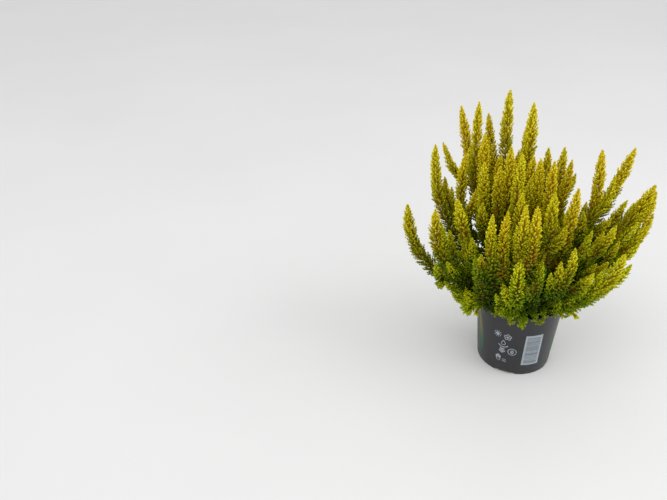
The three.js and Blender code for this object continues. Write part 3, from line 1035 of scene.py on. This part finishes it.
def wall_sheet(made, along, height, azimuth_deg, proud=0.0):
    """A closed thin sheet on the wall from a grid of places."""
    rows, columns = along.shape
    layers = []
    for lift in (-INK_SUNK, INK_THICKNESS):
        places = on_wall(along, height, azimuth_deg, proud + lift)
        layers.append([[made.verts.new(p) for p in row] for row in places])
    under, over = layers
    for i in range(rows - 1):
        for j in range(columns - 1):
            made.faces.new((over[i][j], over[i][j + 1], over[i + 1][j + 1], over[i + 1][j]))
            made.faces.new((under[i][j], under[i + 1][j], under[i + 1][j + 1], under[i][j + 1]))
    edge = [(0, j) for j in range(columns - 1)] + [(i, columns - 1) for i in range(rows - 1)]
    edge += [(rows - 1, j) for j in range(columns - 1, 0, -1)] + [(i, 0) for i in range(rows - 1, 0, -1)]
    for (i, j), (k, l) in zip(edge, edge[1:] + edge[:1]):
        made.faces.new((over[k][l], over[i][j], under[i][j], under[k][l]))


class Pen:
    """Draws on the wall about a place at this azimuth and height, in millimetres."""

    def __init__(self, made, azimuth_deg, height, scale=1.0, proud=0.0):
        self.made = made
        self.azimuth_deg = azimuth_deg
        self.centre = np.array([0.0, height])
        self.scale = scale
        self.proud = proud

    def stroke(self, points, width):
        """A line of ink through these places."""
        points = (self.centre + np.array(points, float) * self.scale) * MM
        steps = np.diff(points, axis=0)
        ways = unit(np.vstack([steps[:1], steps[:-1] + steps[1:], steps[-1:]]))
        beside = np.stack([-ways[:, 1], ways[:, 0]], 1) * width * MM / 2
        both = np.stack([points - beside, points + beside], 1)
        wall_sheet(self.made, both[..., 0], both[..., 1], self.azimuth_deg, self.proud)

    def dot(self, x, z, radius):
        """A filled round spot."""
        u, v = np.meshgrid(np.linspace(-1, 1, 9), np.linspace(-1, 1, 9))
        along = self.centre[0] + (x + radius * u * np.sqrt(1 - v**2 / 2)) * self.scale
        height = self.centre[1] + (z + radius * v * np.sqrt(1 - u**2 / 2)) * self.scale
        wall_sheet(self.made, along * MM, height * MM, self.azimuth_deg, self.proud)


# Widths of the signs' lines, in millimetres
FINE_LINE = 0.85
BROAD_LINE = 1.15


def sun_sign(pen, rays=10):
    pen.dot(0, 0, 2.2)
    for k in range(rays):
        turn = 2 * math.pi * k / rays
        c, s = math.cos(turn), math.sin(turn)
        pen.stroke([(3.0 * c, 3.0 * s), (4.6 * c, 4.6 * s)], FINE_LINE)


def flower_sign(pen, petals=5):
    pen.dot(0, 0, 1.0)
    for k in range(petals):
        turn = math.pi / 2 + 2 * math.pi * k / petals
        out = math.degrees(turn)
        middle = (2.6 * math.cos(turn), 2.6 * math.sin(turn))
        pen.stroke(arc(middle, 1.4, out - 150, out + 150, 10), FINE_LINE)


def drop_sign(pen):
    """A drop of water over a shallow dish."""
    outline = [(0, 4.2), (1.6, 1.6), *arc((0, 0), 2.1, 20, -200, 12), (-1.6, 1.6), (0, 4.2)]
    pen.stroke(outline, FINE_LINE)
    pen.stroke(arc((0, 1.2), 6.2, -145, -35, 12), BROAD_LINE)


def sprig_sign(pen):
    pen.stroke([(0, -4), (0, 0), (0, 4)], FINE_LINE)
    for k in range(3):
        for side in (-1, 1):
            foot = 2.1 * k - 2.6
            reach = 3.4 - 0.6 * k
            elbow = (side * reach * 0.6, foot + 0.9)
            pen.stroke([(0.3 * side, foot), elbow, (side * reach, foot + 2.2)], BROAD_LINE)


def ringed_leaf_sign(pen):
    pen.stroke(arc((0, 0), 4.4, 0, 352, 26), FINE_LINE)
    leaf = [(0, -2.6), (1.5, -1.0), (1.4, 0.8), (0, 2.7), (-1.4, 0.8), (-1.5, -1.0), (-0.1, -2.5)]
    pen.stroke(leaf, FINE_LINE)
    pen.stroke([(0, -2.2), (0, 1.6)], FINE_LINE)


def potted_sign(pen):
    """A small pot with a round bush in it, and the ground beside it."""
    pen.stroke([(-2.2, -0.4), (-1.6, -4), (1.6, -4), (2.2, -0.4)], FINE_LINE)
    pen.stroke([(-2.9, -0.2), (2.9, -0.2)], BROAD_LINE)
    for x, z, radius in ((-1.7, 1.7, 1.3), (1.7, 1.7, 1.3), (0, 3.0, 1.4)):
        pen.dot(x, z, radius)
    for z in (-3.9, -1.5):
        pen.stroke([(4.6, z), (6.6, z + 0.3), (8.8, z - 0.4)], FINE_LINE)


# The small signs: what draws each, its azimuth in degrees, its height in millimetres and its scale
SIGNS = [
    (sun_sign, -132.2, 60.0, 1.05),
    (flower_sign, -117.5, 58.5, 1.1),
    (drop_sign, -123.0, 47.5, 1.15),
    (sprig_sign, -124.2, 35.8, 1.1),
    (ringed_leaf_sign, -109.3, 36.4, 1.12),
    (potted_sign, -129.0, 23.0, 1.1),
]
PANEL_AZIMUTH_DEG = -80.7
PANEL_WIDTH_MM = 21.5
PANEL_HEIGHTS_MM = (16.3, 64.0)
BAR_WIDTHS_MM = (0.35, 0.55, 0.8)
BAR_SPACES_MM = (0.7, 1.0, 1.5)


def printed(name, made, material):
    """A piece of ink on the pot."""
    bmesh.ops.recalc_face_normals(made, faces=made.faces)
    bmesh.ops.triangulate(made, faces=made.faces)
    piece(name, solid(name, made, material), "pot")


def care_signs():
    made = bmesh.new()
    for draw, azimuth, height, scale in SIGNS:
        draw(Pen(made, azimuth, height, scale))
    printed("printed_care_signs", made, ink_material("white_ink", (0.40, 0.44, 0.48), (0.27, 0.30, 0.33)))


def panel():
    """A pale panel with a column of level bars, thick and thin by turns, which say nothing."""
    half = PANEL_WIDTH_MM / 2
    low, high = PANEL_HEIGHTS_MM
    made = bmesh.new()
    along, height = np.meshgrid(np.linspace(-half, half, 14) * MM, np.linspace(low, high, 24) * MM)
    wall_sheet(made, along, height, PANEL_AZIMUTH_DEG)
    printed("printed_panel", made, ink_material("panel_ink", (0.36, 0.405, 0.45), (0.29, 0.33, 0.365)))
    made = bmesh.new()
    rng = rng_for("panel_bars")
    pen = Pen(made, PANEL_AZIMUTH_DEG, 0.0, proud=INK_THICKNESS)
    place = low + 2.6
    while place < high - 3.4:
        thick = rng.choice(BAR_WIDTHS_MM)
        pen.stroke([(x, place) for x in np.linspace(-half + 2.4, half - 2.6, 12)], thick)
        place += thick + rng.choice(BAR_SPACES_MM)
    printed("printed_panel_bars", made, ink_material("bar_ink", (0.13, 0.145, 0.165), (0.105, 0.12, 0.135)))


BLADE_RANGE_DEG = (-36, 195)
BLADE_COUNT = 12
BLADE_TOPS_MM = (70, 84)
BLADE_FEET_MM = (8, 14)
BLADE_LEAN_MM = 6
BLADE_HALF_WIDTHS_MM = (5.2, 6.6)


def blade_material():
    """Printed blades of grass: deep green at the foot, olive and straw towards the point."""
    n = Nodes("blade_ink")
    wander = n.math("MULTIPLY", n.math("SUBTRACT", n.noise(45.0), 0.5), 0.022)
    share = n.span(n.math("ADD", n.height(), wander), 0.012, 0.078)
    colour = n.ramp(share, [
        (0.0, (0.014, 0.048, 0.036)),
        (0.38, (0.026, 0.085, 0.050)),
        (0.55, (0.085, 0.10, 0.028)),
        (1.0, (0.19, 0.17, 0.055)),
    ])
    return n.finish(colour, n.span(n.noise(700.0), 0.3, 0.7, 0.38, 0.5), specular=0.42)


def blades():
    """A band of plain blades round the back of the pot, from one edge of the view to the other."""
    made = bmesh.new()
    rng = rng_for("blades")
    start, end = BLADE_RANGE_DEG
    share = np.linspace(0, 1, 22)
    for azimuth in np.linspace(start, end, BLADE_COUNT):
        top = rng.uniform(*BLADE_TOPS_MM)
        foot = rng.uniform(*BLADE_FEET_MM)
        lean = rng.uniform(-BLADE_LEAN_MM, BLADE_LEAN_MM)
        half = rng.uniform(*BLADE_HALF_WIDTHS_MM) * np.sin(np.pi * np.clip(share, 0.015, 0.99)**0.7)
        middle = lean * share**2
        height = np.repeat(((foot + (top - foot) * share) * MM)[:, None], 5, axis=1)
        along = (middle[:, None] + half[:, None] * np.linspace(-1, 1, 5)[None]) * MM
        wall_sheet(made, along, height, azimuth)
    printed("printed_blades", made, blade_material())


# Root ball and crown

SOIL_RINGS = 34
SOIL_SIDES = 120
SOIL_INNERMOST = 0.6 * MM
SOIL_ROUGHNESS = 1.1 * MM
CRUMB_COUNT = 420
CRUMBS_WITHIN = 49 * MM
LIMB_RADII_MM = (2.3, 1.0)
LIMB_RINGS = 12


def soil(peat):
    """Moist peat, crumbly on top."""
    inside = POT_WALL + GAP
    bottom = FOOT_HEIGHT + POT_WALL + GAP
    edge = SOIL_TOP - SOIL_EDGE_DROP
    widest = wall_radius(edge) - inside
    inwards = np.linspace(0, 1, SOIL_RINGS + 1)
    top = zip(widest + (SOIL_INNERMOST - widest) * inwards, edge + SOIL_EDGE_DROP * smooth(inwards, 0, 0.5))
    profile = [(0, bottom), (wall_radius(bottom) - inside, bottom), *top, (0, SOIL_TOP)]
    made = turned(profile, SOIL_SIDES)
    for vert in made.verts:
        x, y, z = vert.co
        if z > edge - MM and math.hypot(x, y) < widest - 1.5 * MM:
            vert.co.z += SOIL_ROUGHNESS * noise.fractal(vert.co * 170, 0.6, 2.0, 5)
    mesh = solid("peat", made, peat)
    mesh.shade_smooth()
    piece("peat", mesh, "soil", "potting_soil")


def crumbs(peat):
    """Loose crumbs of peat on the root ball."""
    rng = rng_for("crumbs")
    made = bmesh.new()
    for _ in range(CRUMB_COUNT):
        radius = CRUMBS_WITHIN * math.sqrt(rng.uniform(0.12, 1))
        turn = rng.uniform(0, 2 * math.pi)
        size = rng.uniform(0.5, 1.5) * MM
        place = Matrix.Translation((radius * math.cos(turn), radius * math.sin(turn), SOIL_TOP - 0.6 * MM))
        spin = Matrix.Rotation(rng.uniform(0, 6), 4, Vector(unit(rng.normal(0, 1, 3))))
        stretch = Matrix.Diagonal((*(size * rng.uniform(0.6, 1.3, 3)), 1))
        bmesh.ops.create_icosphere(made, subdivisions=1, radius=1.0, matrix=place @ spin @ stretch)
    piece("peat_crumbs", solid("peat_crumbs", made, peat), "soil")


def crown(stems, bark):
    """The woody base: a knot of wood, and a bare limb from it to the foot of every shoot."""
    parts = Parts()
    rng = rng_for("crown")
    thick, thin = LIMB_RADII_MM
    knot = np.array([0.0, 0.0, SOIL_TOP - 4 * MM])
    for stem in stems:
        foot, way = stem.points[0], unit(stem.points[1] - stem.points[0])
        outwards = unit(np.array([foot[0], foot[1], 1e-6]))
        start = knot + outwards * rng.uniform(1, 5) * MM
        middle = foot - way * np.linalg.norm(foot - start) * 0.4
        middle[2] = max(middle[2], SOIL_TOP + 0.5 * MM)
        limb = Stem(bezier(start, start + (UP + outwards) * 4 * MM, middle, foot + way * 3 * MM))
        share = np.linspace(0, 1, LIMB_RINGS)
        place, along, across, over = limb.frames(share)
        radii = (thick * (1 - share) + thin * share) * MM * rng.uniform(0.85, 1.15)
        radii[-1] = 0.3 * MM
        age = np.ones(LIMB_RINGS)
        add_tube(parts, place, across, over, radii, 8, 0, 1 - STEM_SHARE_OF_MAP, 1.0, age=age)
    piece("woody_limbs", parts.mesh("woody_limbs", [bark]), "wood", "woody_crown")


# Studio

FLOOR_HALF = 12.0
SKY_STRENGTH = 0.88
# The lamps: name, place, how wide and how strong in watts
LAMPS = [
    ("key", (-0.9, -0.9, 2.0), 1.6, 13.0),
    ("side", (1.4, -0.5, 1.2), 1.3, 11.0),
]
LAMPS_AIM_AT = (0.0, 0.0, 0.15)


def studio():
    """A pale floor, an even white sky and soft lamps."""
    mesh = bpy.data.meshes.new("floor")
    corners = [(x * FLOOR_HALF, y * FLOOR_HALF, 0) for x, y in ((-1, -1), (1, -1), (1, 1), (-1, 1))]
    mesh.from_pydata(corners, [], [(0, 1, 2, 3)])
    mesh.materials.append(floor_material())
    floor = linked("floor", mesh)
    world = bpy.data.worlds.new("soft_white")
    world.use_nodes = True
    sky = world.node_tree.nodes["Background"]
    sky.inputs["Color"].default_value = (1.0, 1.0, 1.0, 1.0)
    sky.inputs["Strength"].default_value = SKY_STRENGTH
    bpy.context.scene.world = world
    for name, place, size, power in LAMPS:
        lamp(name, Vector(place), size, power)


def lamp(name, place, size, power):
    data = bpy.data.lights.new(name, "AREA")
    data.shape = "DISK"
    data.size = size
    data.energy = power
    made = linked(name, data)
    made.location = place
    made.rotation_mode = "QUATERNION"
    made.rotation_quaternion = (place - Vector(LAMPS_AIM_AT)).to_track_quat("Z", "Y")


def camera():
    """A camera where the photograph's stood, with its pitch, roll and lens."""
    data = bpy.data.cameras.new("camera")
    data.sensor_width = SENSOR_WIDTH
    data.lens = FOCAL_PX / FRAME_WIDTH_PX * SENSOR_WIDTH
    data.clip_start, data.clip_end = 0.01, 60.0
    pitch, roll = math.radians(CAMERA_PITCH_DEG), math.radians(CAMERA_ROLL_DEG)
    ahead = np.array([0.0, math.cos(pitch), -math.sin(pitch)])
    down = np.array([0.0, -math.sin(pitch), -math.cos(pitch)])
    right = np.array([1.0, 0.0, 0.0])
    image_right = math.cos(roll) * right + math.sin(roll) * down
    image_up = math.sin(roll) * right - math.cos(roll) * down
    made = linked("camera", data)
    facing = Matrix(np.stack([image_right, image_up, -ahead], 1).tolist()).to_4x4()
    made.matrix_world = Matrix.Translation([x * MM for x in CAMERA_AT_MM]) @ facing
    bpy.context.scene.camera = made


camera()
studio()
bpy.context.scene.view_settings.view_transform = "Standard"
bark = bark_material()
stems = shoots(leaf_material(), bark)
crown(stems, bark)
pot()
care_signs()
panel()
blades()
peat = peat_material()
soil(peat)
crumbs(peat)
